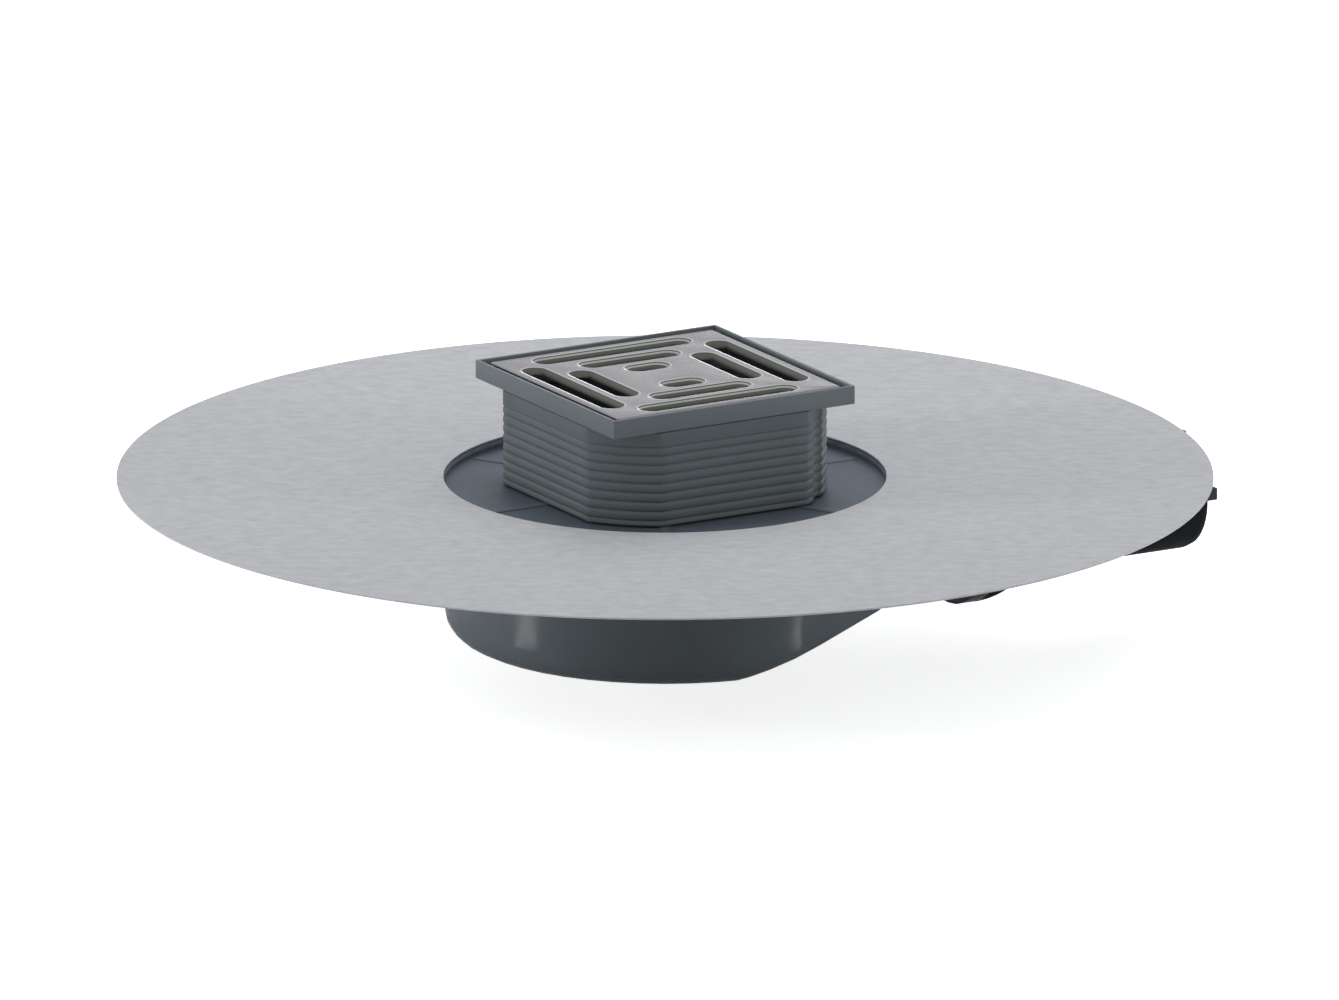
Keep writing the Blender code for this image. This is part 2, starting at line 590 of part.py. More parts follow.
def build_grate():
    """Pressed steel grate: a flat plate with slots whose edges are rolled down."""
    low = GRATE_TOP_Z - GRATE_T
    collar_low = GRATE_TOP_Z - SLOT_DEPTH
    plate = []
    for z, inset in ((low, 0.0), (GRATE_TOP_Z - 0.0006, 0.0), (GRATE_TOP_Z - 0.00015, 0.0002),
                     (GRATE_TOP_Z, 0.0006)):
        half = GRATE_HALF - inset
        plate.append(square_outline(half, half * math.sqrt(2) - GRATE_CORNER_R, z))
    grate = lofted("grate", plate)
    roll = ((0.0010, 1.0 + 0.3), (0.0, 1.0), (-0.0002, 0.72), (-0.0008, 0.36), (-0.0018, 0.08),
            (-SLOT_DEPTH - 0.002, 0.0))
    for i, (centre, length, along_x) in enumerate(slot_places()):
        half = length / 2
        collar_r = SLOT_HALF_W + GRATE_T
        collar = [stadium(half, collar_r, z, centre, along_x) for z in (collar_low, low + 0.0007)]
        combine(grate, lofted("tool_slot_collar_%d" % i, collar), "UNION")
    for i, (centre, length, along_x) in enumerate(slot_places()):
        half = length / 2
        cut = [stadium(half, SLOT_HALF_W + SLOT_ROLL * share, GRATE_TOP_Z + dz, centre, along_x)
               for dz, share in reversed(roll)]
        combine(grate, lofted("tool_slot_cut_%d" % i, cut), "DIFFERENCE")
    return dress(grate, (0.55, 0.54, 0.56), 0.28, 1.0)


def build_dip_tube():
    """Trap insert: seat flange with an O-ring groove, funnel, dip tube, fins and a grip bar."""
    low = TRAP_SEAT_Z + SEAT_GAP
    high = low + TRAP_FLANGE_H
    flange_r = TRAP_BORE_R - TRAP_FLANGE_GAP
    groove_r = flange_r - TRAP_GROOVE_DEPTH
    groove_low = (low + high - TRAP_GROOVE_H) / 2
    tube_r = DIP_BORE_R + DIP_WALL
    groove_high = groove_low + TRAP_GROOVE_H
    profile = [(high, flange_r), (groove_high, flange_r), (groove_high, groove_r), (groove_low, groove_r),
               (groove_low, flange_r), (low, flange_r), (low, groove_r - 0.0025),
               (low - 0.0022, tube_r + 0.001), (low - 0.0040, tube_r), (DIP_END_Z, tube_r),
               (DIP_END_Z, DIP_BORE_R), (low - 0.0010, DIP_BORE_R), (low + 0.0012, DIP_BORE_R + 0.0030),
               (high - 0.0012, groove_r - 0.0020), (high, groove_r - 0.0005)]
    tube = turned("trap_dip_tube", profile, ROUND_STEPS)
    for i in range(FIN_COUNT):
        fin = box("tool_fin_%d" % i, (tube_r - 0.0009, -FIN_T / 2, FIN_BOTTOM_Z),
                  (CUP_R - CUP_WALL - SEAT_GAP, FIN_T / 2, FIN_TOP_Z))
        fin.rotation_euler.z = math.tau * i / FIN_COUNT + math.pi / 6
        combine(tube, fin, "UNION")
    bar_r = groove_r - 0.0010
    bar_top = high + HANDLE_H
    bar = box("tool_grip_bar", (-bar_r, -HANDLE_W / 2, high - 0.0010), (bar_r, HANDLE_W / 2, bar_top))
    arch = box("tool_grip_arch", (-bar_r + 0.0060, -HANDLE_W, high - 0.0040),
               (bar_r - 0.0060, HANDLE_W, bar_top - HANDLE_T))
    combine(bar, arch, "DIFFERENCE")
    combine(tube, bar, "UNION")
    return dress(tube, (0.02, 0.022, 0.024), 0.4)


def build_trap_cup():
    """Cup round the dip tube that holds the water seal."""
    inner_r = CUP_R - CUP_WALL
    inner_fillet = CUP_FILLET - CUP_WALL
    floor_z = CUP_BOTTOM_Z + CUP_WALL
    profile = [(CUP_BOTTOM_Z, 0.0)]
    profile += fillet((CUP_BOTTOM_Z, CUP_R), (0, -1), (1, 0), CUP_FILLET)
    profile += [(CUP_TOP_Z, CUP_R), (CUP_TOP_Z, inner_r)]
    profile += fillet((floor_z, inner_r), (1, 0), (0, -1), inner_fillet)
    profile += [(floor_z, 0.0)]
    return dress(turned("trap_cup", profile, ROUND_STEPS), (0.02, 0.022, 0.024), 0.4)


def ring_section(name, ring_r, section_r, z):
    """A round-section ring."""
    profile = []
    for i in range(RING_SECTION_STEPS):
        angle = math.tau * i / RING_SECTION_STEPS
        profile.append((z + section_r * math.sin(angle), ring_r + section_r * math.cos(angle)))
    return turned(name, profile, ROUND_STEPS)


def build_o_ring():
    groove_r = TRAP_BORE_R - TRAP_FLANGE_GAP - TRAP_GROOVE_DEPTH
    outer = TRAP_BORE_R - SEAT_GAP
    inner = groove_r + SEAT_GAP
    z = TRAP_SEAT_Z + SEAT_GAP + TRAP_FLANGE_H / 2
    ring = ring_section("trap_o_ring", (outer + inner) / 2, (outer - inner) / 2, z)
    return dress(ring, (0.02, 0.02, 0.022), 0.55)


def ball_pivot():
    return (BALL_X, 0, OUTLET_Z)


def build_ball_seal():
    """Rubber ring in the socket that rests against the ball."""
    low = BALL_R + SEAT_GAP
    profile = arc(BALL_X, low + SEAL_T, SEAL_START + 0.01, SEAL_END - 0.01, 2)
    profile += list(reversed(arc(BALL_X, low, SEAL_START + 0.01, SEAL_END - 0.01, 2)))
    return dress(turned("ball_seal", profile, SMALL_STEPS, "X"), (0.02, 0.02, 0.022), 0.6)


def build_support_ring():
    """Slip ring that turns with the ball between the ball and the nut."""
    low = BALL_R + SEAT_GAP
    profile = arc(BALL_X, low + RING_T, RING_START, RING_END, 3)
    profile += list(reversed(arc(BALL_X, low, RING_START, RING_END, 3)))
    ring = turned("ball_support_ring", profile, SMALL_STEPS, "X", ball_pivot())
    return dress(ring, (0.6, 0.6, 0.58), 0.5)


def build_nut():
    """Retaining nut: a domed ring whose skirt sits in the socket."""
    face_x = SOCKET_END_X + SEAT_GAP
    skirt_r = CAVITY_R + NUT_SKIRT_T
    back_x = SOCKET_END_X - NUT_SKIRT_L + SEAT_GAP
    inner_end = math.acos((back_x - BALL_X) / CAVITY_R)
    outer_start = math.acos((face_x - BALL_X) / SOCKET_R)
    profile = arc(BALL_X, SOCKET_R, NUT_MOUTH_OUT, outer_start, 4)
    profile += [(face_x, skirt_r), (back_x, skirt_r)]
    profile += list(reversed(arc(BALL_X, CAVITY_R, NUT_MOUTH_IN, inner_end, 4)))
    return dress(turned("ball_retaining_nut", profile, SMALL_STEPS, "X"), (0.012, 0.014, 0.016), 0.35)


def build_spigot():
    """Outlet spigot: hollow ball, waist and a DN 50 pipe end with a lead-in chamfer."""
    inner_ball = BALL_R - BALL_WALL
    waist_bore = SPIGOT_NECK_R - SPIGOT_WALL
    outer_waist = math.asin(SPIGOT_NECK_R / BALL_R)
    inner_waist = math.asin(waist_bore / inner_ball)
    profile = list(reversed(arc(BALL_X, BALL_R, outer_waist, BALL_MOUTH, 7)))
    profile += [(FLARE_START_X, SPIGOT_NECK_R), (FLARE_END_X, SPIGOT_R),
                (SPIGOT_END_X - SPIGOT_CHAMFER, SPIGOT_R), (SPIGOT_END_X, SPIGOT_TIP_R),
                (SPIGOT_END_X, SPIGOT_BORE_R), (FLARE_END_X + 0.0005, SPIGOT_BORE_R),
                (FLARE_START_X + 0.0005, waist_bore)]
    profile += arc(BALL_X, inner_ball, inner_waist, BALL_MOUTH, 6)
    spigot = turned("outlet_spigot", profile, SMALL_STEPS, "X", ball_pivot())
    return dress(spigot, (0.014, 0.016, 0.018), 0.32)


def build_plug():
    """Protective plug in the spigot: a shallow cup with a flat grip bar and a tab at the top."""
    plug_r = SPIGOT_BORE_R - SEAT_GAP
    face_x = SPIGOT_END_X - 0.0006
    back_x = face_x - PLUG_DEPTH
    profile = [(back_x, plug_r - 0.0008), (back_x + 0.0015, plug_r), (face_x, plug_r), (face_x, 0.0),
               (face_x - PLUG_FACE_T, 0.0), (face_x - PLUG_FACE_T, plug_r - PLUG_WALL),
               (back_x, plug_r - PLUG_WALL)]
    plug = turned("outlet_plug", profile, SMALL_STEPS, "X", ball_pivot())
    grip = box("tool_plug_grip", (face_x - 0.001, -GRIP_W / 2, OUTLET_Z - GRIP_T / 2),
               (SPIGOT_END_X + GRIP_OUT, GRIP_W / 2, OUTLET_Z + GRIP_T / 2))
    combine(plug, grip, "UNION")
    foot_x = SPIGOT_END_X + SEAT_GAP
    tab = box("tool_plug_tab", (foot_x, -TAB_W / 2, OUTLET_Z + plug_r - 0.004),
              (foot_x + TAB_T, TAB_W / 2, OUTLET_Z + TAB_R))
    root = box("tool_plug_tab_root", (face_x - 0.001, -TAB_W / 2, OUTLET_Z + plug_r - 0.005),
               (foot_x + TAB_T, TAB_W / 2, OUTLET_Z + plug_r - 0.0008))
    combine(plug, root, "UNION")
    combine(plug, tab, "UNION")
    return dress(plug, (0.14, 0.15, 0.16), 0.5)


def main():
    clear_scene()
    build_bowl()
    build_flange()
    build_collar()
    build_extension()
    build_lip_seal()
    build_frame()
    build_grate()
    build_dip_tube()
    build_trap_cup()
    build_o_ring()
    build_ball_seal()
    build_support_ring()
    build_nut()
    build_spigot()
    build_plug()


main()
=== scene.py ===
# %% [markdown]
# # Looks of a floor drain
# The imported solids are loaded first. They fix every size, and nothing in this lesson moves them.
# Each visible piece then gets a finer mesh or a better finish.

import json
import math

import bmesh
import bpy
from mathutils import Matrix, Vector

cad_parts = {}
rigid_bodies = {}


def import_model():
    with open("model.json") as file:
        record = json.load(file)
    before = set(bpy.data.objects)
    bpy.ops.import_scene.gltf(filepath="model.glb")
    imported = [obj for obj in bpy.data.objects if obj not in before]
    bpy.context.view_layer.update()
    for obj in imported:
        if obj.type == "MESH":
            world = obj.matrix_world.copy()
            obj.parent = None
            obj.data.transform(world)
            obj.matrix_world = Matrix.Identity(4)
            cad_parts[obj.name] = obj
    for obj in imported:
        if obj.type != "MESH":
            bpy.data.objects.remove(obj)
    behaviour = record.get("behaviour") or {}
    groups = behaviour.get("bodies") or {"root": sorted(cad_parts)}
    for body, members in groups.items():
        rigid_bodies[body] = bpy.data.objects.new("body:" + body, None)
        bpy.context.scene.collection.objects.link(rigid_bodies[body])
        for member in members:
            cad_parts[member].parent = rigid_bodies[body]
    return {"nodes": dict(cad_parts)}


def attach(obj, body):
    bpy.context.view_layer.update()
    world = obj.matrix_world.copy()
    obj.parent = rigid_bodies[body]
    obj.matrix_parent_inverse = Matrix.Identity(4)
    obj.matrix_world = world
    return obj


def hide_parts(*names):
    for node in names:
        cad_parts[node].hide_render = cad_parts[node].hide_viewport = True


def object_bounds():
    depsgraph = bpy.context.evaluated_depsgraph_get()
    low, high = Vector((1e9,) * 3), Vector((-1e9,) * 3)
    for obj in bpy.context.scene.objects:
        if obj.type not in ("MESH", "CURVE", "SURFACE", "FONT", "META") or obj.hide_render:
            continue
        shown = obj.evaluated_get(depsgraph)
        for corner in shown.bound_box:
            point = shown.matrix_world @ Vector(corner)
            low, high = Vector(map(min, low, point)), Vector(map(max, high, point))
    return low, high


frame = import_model()
nodes = frame["nodes"]
cad_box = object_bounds()
print("solids:", len(nodes), "box:", cad_box)

# %% [markdown]
# ## Camera
# The photo is a telephoto view: parallel edges stay parallel. A very long lens far away does the
# same, and unlike an orthographic camera it can still be moved round the object by its angle.
# The drain is seen from 15 degrees above, turned 30 degrees from its own front.

# %% Camera
VIEW_TURN = math.radians(30)
VIEW_RISE = math.radians(15)
FRAME_WIDTH = 0.5785         # how much of the scene the picture is wide, in metres
LENS = 1260                  # focal length in millimetres


def from_view(across, away, up):
    """A point given as seen from the camera, turned into the drain's own axes."""
    return Vector((across * math.cos(VIEW_TURN) + away * math.sin(VIEW_TURN),
                   away * math.cos(VIEW_TURN) - across * math.sin(VIEW_TURN), up))


def aim(item, target):
    """Point an object's -Z axis at the target, with its Y axis up."""
    item.rotation_euler = (Vector(target) - item.location).to_track_quat("-Z", "Y").to_euler()


lens = bpy.data.cameras.new("camera")
lens.lens = LENS
lens.sensor_width = 36
lens.clip_end = 100
camera = bpy.data.objects.new("camera", lens)
bpy.context.scene.collection.objects.link(camera)
distance = FRAME_WIDTH * lens.lens / lens.sensor_width
centre = from_view(0.00194, 0, 0.0594)
camera.location = centre + from_view(0, -distance * math.cos(VIEW_RISE),
                                     distance * math.sin(VIEW_RISE))
aim(camera, centre)
bpy.context.scene.camera = camera
bpy.context.scene.view_settings.view_transform = "Standard"
print("camera is", round(distance, 2), "m away")

# %% [markdown]
# ## Colours and finishes
# Colours are read off the photo as 0 to 255 values, which are gamma coded. A shader wants linear
# values, so a small helper converts them.
# A finish is built from a few noise textures on Object coordinates: a slow one that drifts the
# tone, and a fine one that gives the moulding grain. It could also be painted on an image, but a
# procedural finish has no seams and no size limit.

# %% Finish helpers
def tone(red, green, blue):
    """Photo colour to linear colour."""
    linear = []
    for value in (red, green, blue):
        share = value / 255
        linear.append(share / 12.92 if share <= 0.04045 else ((share + 0.055) / 1.055) ** 2.4)
    return (*linear, 1.0)


def start_finish(name, roughness, metallic=0.0):
    """A new material with its shader, its node tree and Object coordinates."""
    material = bpy.data.materials.new(name)
    material.use_nodes = True
    tree = material.node_tree
    shader = tree.nodes["Principled BSDF"]
    shader.inputs["Roughness"].default_value = roughness
    shader.inputs["Metallic"].default_value = metallic
    place = tree.nodes.new("ShaderNodeTexCoord").outputs["Object"]
    return material, tree, shader, place


def add_noise(tree, place, scale, detail=3.0, roughness=0.5, stretch=None):
    """A noise texture, stretched along some axes if asked; returns its grey output."""
    if stretch:
        mapping = tree.nodes.new("ShaderNodeMapping")
        mapping.inputs["Scale"].default_value = stretch
        tree.links.new(place, mapping.inputs["Vector"])
        place = mapping.outputs["Vector"]
    noise = tree.nodes.new("ShaderNodeTexNoise")
    noise.inputs["Scale"].default_value = scale
    noise.inputs["Detail"].default_value = detail
    noise.inputs["Roughness"].default_value = roughness
    tree.links.new(place, noise.inputs["Vector"])
    return noise.outputs["Fac"]


def add_ramp(tree, value, stops):
    """A colour ramp; stops are (position, colour)."""
    ramp = tree.nodes.new("ShaderNodeValToRGB")
    elements = ramp.color_ramp.elements
    while len(elements) < len(stops):
        elements.new(0.5)
    for element, (position, colour) in zip(elements, stops):
        element.position = position
        element.color = colour
    tree.links.new(value, ramp.inputs["Fac"])
    return ramp.outputs["Color"]


def add_range(tree, value, low, high):
    """Map a noise's grey, which mostly lies between 0.3 and 0.7, onto low to high."""
    node = tree.nodes.new("ShaderNodeMapRange")
    node.inputs["From Min"].default_value = 0.3
    node.inputs["From Max"].default_value = 0.7
    node.inputs["To Min"].default_value = low
    node.inputs["To Max"].default_value = high
    tree.links.new(value, node.inputs["Value"])
    return node.outputs["Result"]


def add_bump(tree, shader, height, strength, distance, below=None):
    """Bump from a height; a second bump can be stacked on a first one."""
    bump = tree.nodes.new("ShaderNodeBump")
    bump.inputs["Strength"].default_value = strength
    bump.inputs["Distance"].default_value = distance
    tree.links.new(height, bump.inputs["Height"])
    if below:
        tree.links.new(below, bump.inputs["Normal"])
    tree.links.new(bump.outputs["Normal"], shader.inputs["Normal"])
    return bump.outputs["Normal"]


def shade(colour, factor):
    """The same colour, lighter or darker."""
    return (*(min(1.0, channel * factor) for channel in colour[:3]), 1.0)


# %% [markdown]
# ### Moulded plastic
# The drain body, the extension and the frame are injection moulded in grey polypropylene. Such a
# surface has a fine even grain from the steel mould, a slow change of tone where the melt cooled,
# and a soft satin gloss. The outlet parts are the same kind of plastic in near black.

# %% Plastic finish
def moulded(name, colour, roughness, drift=0.04, grain=0.05, gloss=0.3):
    material, tree, shader, place = start_finish(name, roughness)
    shader.inputs["Specular IOR Level"].default_value = gloss
    slow = add_noise(tree, place, 22, 4, 0.55)
    colours = add_ramp(tree, slow, [(0.30, shade(colour, 1 - drift)),
                                    (0.70, shade(colour, 1 + drift))])
    tree.links.new(colours, shader.inputs["Base Color"])
    flow = add_noise(tree, place, 140, 3, 0.6)
    satin = add_range(tree, flow, roughness - 0.03, roughness + 0.05)
    tree.links.new(satin, shader.inputs["Roughness"])
    add_bump(tree, shader, add_noise(tree, place, 1500, 2, 0.5), grain, 0.00004)
    return material


bowl_grey = moulded("bowl_grey", tone(84, 90, 94), 0.16, grain=0.015, gloss=0.15)
flange_grey = moulded("flange_grey", tone(100, 107, 117), 0.55, gloss=0.06)
skirt_grey = moulded("skirt_grey", tone(96, 103, 106), 0.48)
frame_grey = moulded("frame_grey", tone(108, 115, 119), 0.46)
trap_black = moulded("trap_black", tone(40, 43, 46), 0.38)
outlet_black = moulded("outlet_black", tone(32, 36, 40), 0.45, gloss=0.012)
nut_black = moulded("nut_black", tone(25, 28, 32), 0.45, gloss=0.012)
plug_grey = moulded("plug_grey", tone(64, 66, 68), 0.50, gloss=0.05)
slip_white = moulded("slip_white", tone(196, 196, 190), 0.42)
print("plastics:", len(bpy.data.materials))

# %% [markdown]
# ### Rubber
# Seals are soft black rubber: very matt, with a faint bloom that greys the surface in patches.

# %% Rubber finish
def rubber(name):
    material, tree, shader, place = start_finish(name, 0.72)
    bloom = add_noise(tree, place, 90, 5, 0.6)
    colours = add_ramp(tree, bloom, [(0.35, tone(24, 24, 26)), (0.75, tone(46, 46, 48))])
    tree.links.new(colours, shader.inputs["Base Color"])
    add_bump(tree, shader, add_noise(tree, place, 1800, 3), 0.2, 0.00008)
    return material


seal_black = rubber("seal_black")
print("rubber:", seal_black.name)

# %% [markdown]
# ### Pressed steel
# The grate is a stamped stainless plate. Its face is finely brushed along one direction, so the
# roughness and a tiny bump are stretched noise: long along X, very short across it.
# Where the press draws the sheet down at a slot, one finish with other tones and another roughness
# gives each part. The rounded edge is smoother and has no brushing bump; its lighter tone is a
# painted highlight. The deep walls are duller, and their darker tone is painted shade. The ledges
# of the slots that lie along X get a lighter tone, which is a painted reflection.

# %% Steel finish
def steel(name, colour, roughness, brushing):
    material, tree, shader, place = start_finish(name, roughness, 1.0)
    lines = add_noise(tree, place, 60, 4, 0.6, (4, 220, 40))
    cloud = add_noise(tree, place, 35, 3, 0.5)
    colours = add_ramp(tree, cloud, [(0.3, shade(colour, 0.95)), (0.7, shade(colour, 1.05))])
    tree.links.new(colours, shader.inputs["Base Color"])
    streaks = add_range(tree, lines, roughness * 0.8, roughness * 1.2)
    tree.links.new(streaks, shader.inputs["Roughness"])
    add_bump(tree, shader, lines, brushing, 0.00003)
    return material


grate_steel = steel("grate_steel", tone(125, 124, 130), 0.28, 0.03)
# The lighter rim tone is a painted highlight on a smoother finish, the lighter ledge tone is a
# painted reflection, and the darker wall tone is painted shade.
painted_highlight_steel = steel("painted_highlight_steel", tone(172, 171, 176), 0.11, 0.0)
painted_reflection_steel = steel("painted_reflection_steel", tone(158, 160, 156), 0.34, 0.03)
painted_shade_steel = steel("painted_shade_steel", tone(88, 91, 85), 0.40, 0.03)
print("steel:", grate_steel.name, painted_highlight_steel.name, painted_reflection_steel.name, painted_shade_steel.name)

# %% [markdown]
# ### Fleece
# The sealing collar is a rubber membrane faced with a thin non-woven fleece, so that tile adhesive
# can grip it. The fibres are laid mostly one way when the fleece is made, so they clump to short
# streaks a few millimetres wide and about twice as long. The pattern's axes are turned to
# the way the roll was laid, and the noise is then stretched along them. A finer stretched noise
# draws the single fibres, and a little sheen gives the fuzz.

# %% Fleece finish
ROLL_TURN = math.radians(30)


def fleece(name, colour):
    material, tree, shader, place = start_finish(name, 0.92)
    shader.inputs["Sheen Weight"].default_value = 0.12
    shader.inputs["Sheen Roughness"].default_value = 0.6
    turned = tree.nodes.new("ShaderNodeMapping")
    turned.inputs["Rotation"].default_value = (0, 0, ROLL_TURN)
    tree.links.new(place, turned.inputs["Vector"])
    place = turned.outputs["Vector"]
    clumps = add_noise(tree, place, 230, 5, 0.65, (0.55, 1, 1))
    fibres = add_noise(tree, place, 1100, 2, 0.6, (0.3, 1, 1))
    mixed = tree.nodes.new("ShaderNodeMix")
    mixed.inputs[0].default_value = 0.2
    tree.links.new(clumps, mixed.inputs[2])
    tree.links.new(fibres, mixed.inputs[3])
    colours = add_ramp(tree, mixed.outputs[0], [(0.36, shade(colour, 0.90)),
                                                (0.50, shade(colour, 1.0)),
                                                (0.64, shade(colour, 1.10))])
    tree.links.new(colours, shader.inputs["Base Color"])
    first = add_bump(tree, shader, fibres, 0.3, 0.0001)
    add_bump(tree, shader, clumps, 0.3, 0.0002, first)
    return material


collar_fleece = fleece("collar_fleece", tone(186, 187, 191))
print("fleece:", collar_fleece.name)

# %% [markdown]
# ## Pieces
# A turned piece starts as its cross-section: a closed loop of edges. Spin sweeps that loop round
# the axis. The first and last copies meet, so use_merge joins them, and the normals are then made
# to point outwards. The outlet's pieces are turned about the outlet's axis, the rest about Z.
# Where a section runs along the axis, spinning it leaves a bare edge there, which is taken out.

# %% Mesh helpers
OUTLET_Z = 0.0294
FULL_TURN = 2 * math.pi


def finish_piece(name, bm, body, material, sharp=30):
    """Make an object of the mesh, shade it, and let it ride on its body."""
    bmesh.ops.remove_doubles(bm, verts=bm.verts, dist=1e-6)
    bare = [edge for edge in bm.edges if not edge.link_faces]
    bmesh.ops.delete(bm, geom=bare, context="EDGES")
    bmesh.ops.recalc_face_normals(bm, faces=bm.faces)
    mesh = bpy.data.meshes.new(name)
    bm.to_mesh(mesh)
    bm.free()
    piece = bpy.data.objects.new(name, mesh)
    bpy.context.scene.collection.objects.link(piece)
    mesh.materials.append(material)
    mesh.shade_smooth()
    mesh.set_sharp_from_angle(angle=math.radians(sharp))
    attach(piece, body)
    print(name, len(mesh.polygons), "faces")
    return piece


def spin_section(bm, section, steps, along_outlet=False):
    """Sweep a closed section of (along, radius) points round an axis."""
    if along_outlet:
        verts = [bm.verts.new((along, 0, OUTLET_Z + radius)) for along, radius in section]
        centre, direction = (0, 0, OUTLET_Z), (1, 0, 0)
    else:
        verts = [bm.verts.new((radius, 0, along)) for along, radius in section]
        centre, direction = (0, 0, 0), (0, 0, 1)
    edges = [bm.edges.new((verts[i - 1], verts[i])) for i in range(len(verts))]
    bmesh.ops.spin(bm, geom=verts + edges, cent=centre, axis=direction, angle=FULL_TURN,
                   steps=steps, use_merge=True, use_duplicate=False)


def grow_edges(bm, edges):
    """Extrude open edges; returns the new edges and the new vertices."""
    grown = bmesh.ops.extrude_edge_only(bm, edges=edges)["geom"]
    return ([item for item in grown if isinstance(item, bmesh.types.BMEdge)],
            [item for item in grown if isinstance(item, bmesh.types.BMVert)])


def arc(centre, radius, start, end, steps):
    """Section points on a circle round (along, radius) = centre; angles in degrees from +along."""
    points = []
    for i in range(steps + 1):
        angle = math.radians(start + (end - start) * i / steps)
        points.append((centre[0] + radius * math.cos(angle), centre[1] + radius * math.sin(angle)))
    return points


def smooth_copy(node, body, material, sharp):
    """A copy of a solid with its loose triangles joined, so that it can be shaded smooth."""
    bm = bmesh.new()
    bm.from_mesh(nodes[node].data)
    bmesh.ops.remove_doubles(bm, verts=bm.verts, dist=1e-5)
    piece = finish_piece(node + "_smooth", bm, body, material, sharp)
    weighted = piece.modifiers.new("weighted_normals", "WEIGHTED_NORMAL")
    weighted.keep_sharp = True
    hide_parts(node)
    return piece


# %% [markdown]
# ### Hidden and simple pieces
# The bowl, the flange, the trap and the seals already have their right shape. Their solids come as
# loose triangles, so a copy is joined at its seams and shaded smooth, and gets its finish. A solid
# that was cut by other solids has long thin triangles that pull a smooth shading askew. A Weighted
# Normal modifier lets the large faces decide, which cures that without touching the shape.

# %% Bowl, flange, trap and seals
PLAIN_PIECES = (
    ("drain_bowl", "housing", bowl_grey, "bowl_plastic"),
    ("drain_flange", "housing", flange_grey, "flange_plastic"),
    ("trap_dip_tube", "extension", trap_black, "dip_tube_plastic"),
    ("trap_cup", "extension", trap_black, "trap_cup_plastic"),
    ("trap_o_ring", "extension", seal_black, "o_ring_rubber"),
    ("extension_lip_seal", "turning_seal", seal_black, "lip_seal_rubber"),
    ("ball_seal", "housing", seal_black, "ball_seal_rubber"),
    ("ball_support_ring", "swivel_ring", slip_white, "support_ring_plastic"),
)
for node, body, material, slot in PLAIN_PIECES:
    smooth_copy(node, body, material, 40)

# %% [markdown]
# ### Collar
# The collar is a flat ring of membrane 0.7 mm thick. Its section is a small rectangle with softly
# rounded cut edges, spun round the drain's axis.

# %% Collar
COLLAR_LOW = 0.0698
COLLAR_HIGH = 0.0705
COLLAR_R = 0.2370
COLLAR_HOLE_R = 0.0957
EDGE = 0.00015               # how far the cut edges are rounded
COLLAR_STEPS = 288


def build_collar():
    bm = bmesh.new()
    section = [(COLLAR_LOW, COLLAR_HOLE_R), (COLLAR_LOW, COLLAR_R), (COLLAR_HIGH - EDGE, COLLAR_R),
               (COLLAR_HIGH, COLLAR_R - EDGE), (COLLAR_HIGH, COLLAR_HOLE_R + EDGE),
               (COLLAR_HIGH - EDGE, COLLAR_HOLE_R)]
    spin_section(bm, section, COLLAR_STEPS)
    return finish_piece("collar", bm, "housing", collar_fleece, 40)


collar = build_collar()
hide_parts("sealing_collar")

# %% [markdown]
# ### Ribbed extension
# The extension is a square tube with rounded corners, outside a round neck. Every height of it is
# a closed line round the axis, so the whole piece is one chain of such lines: up the ribbed
# outside, over the top, down the inside, across the deck to the neck, down and up the neck, and
# back out below the deck. A circle is extruded from line to line, and each copy is then pulled to
# its own distance from the axis. A piece of this kind could be cut from a block with Booleans, but
# a chain keeps clean rows of faces, and each rib can then have its sharp dark notch.

# %% Outline of the skirt
SKIRT_HALF = 0.0597
SKIRT_R = 0.0700
CORNER_STEPS = 16            # points round a corner
SIDE_STEPS = 22              # points along a flat side
GROOVE_AT = math.radians(-49)
GROOVE_REACH = math.radians(4.6)
GROOVE_DEPTH = 0.0019


def outline_angles():
    """Directions of the points: close together round the corners and at the grooves' edges."""
    angles = []
    for quarter in range(4):
        start = math.pi / 2 * quarter
        corner = math.acos(SKIRT_HALF / SKIRT_R)
        angles += [start - corner + 2 * corner * i / CORNER_STEPS for i in range(CORNER_STEPS)]
        angles += [start + corner + (math.pi / 2 - 2 * corner) * i / SIDE_STEPS
                   for i in range(SIDE_STEPS)]
    for middle in (GROOVE_AT, GROOVE_AT + math.pi):
        angles = [a for a in angles
                  if abs(math.remainder(a - middle, FULL_TURN)) > GROOVE_REACH + 0.006]
        angles.append(middle)
        for share in (0.4, 0.65, 0.8, 0.9, 0.96, 1):
            angles += [middle + GROOVE_REACH * share, middle - GROOVE_REACH * share]
    return sorted(math.remainder(a, FULL_TURN) for a in angles)


def square_distance(angle, half, radius, groove):
    """Distance from the axis to a square whose corners are arcs about the axis, less the groove."""
    dip = 0.0
    for middle in (GROOVE_AT, GROOVE_AT + math.pi):
        share = abs(math.remainder(angle - middle, FULL_TURN)) / GROOVE_REACH
        if share < 1:
            dip = groove * (1 - share ** 5)
    return min(half / max(abs(math.cos(angle)), abs(math.sin(angle))), radius) - dip


def square_chain(chain):
    """A closed body from lines round the axis: height, half width, corner radius, groove depth."""
    bm = bmesh.new()
    angles = outline_angles()
    verts = bmesh.ops.create_circle(bm, segments=len(angles), radius=1)["verts"]
    for vert, angle in zip(verts, angles):
        vert.co = (math.cos(angle), math.sin(angle), 0)
    edges = bm.edges[:]
    for number, (height, half, radius, groove) in enumerate([*chain, chain[0]]):
        if number:
            edges, verts = grow_edges(bm, edges)
        for vert in verts:
            angle = math.atan2(vert.co.y, vert.co.x)
            reach = square_distance(angle, half, radius, groove)
            vert.co = (reach * math.cos(angle), reach * math.sin(angle), height)
    return bm


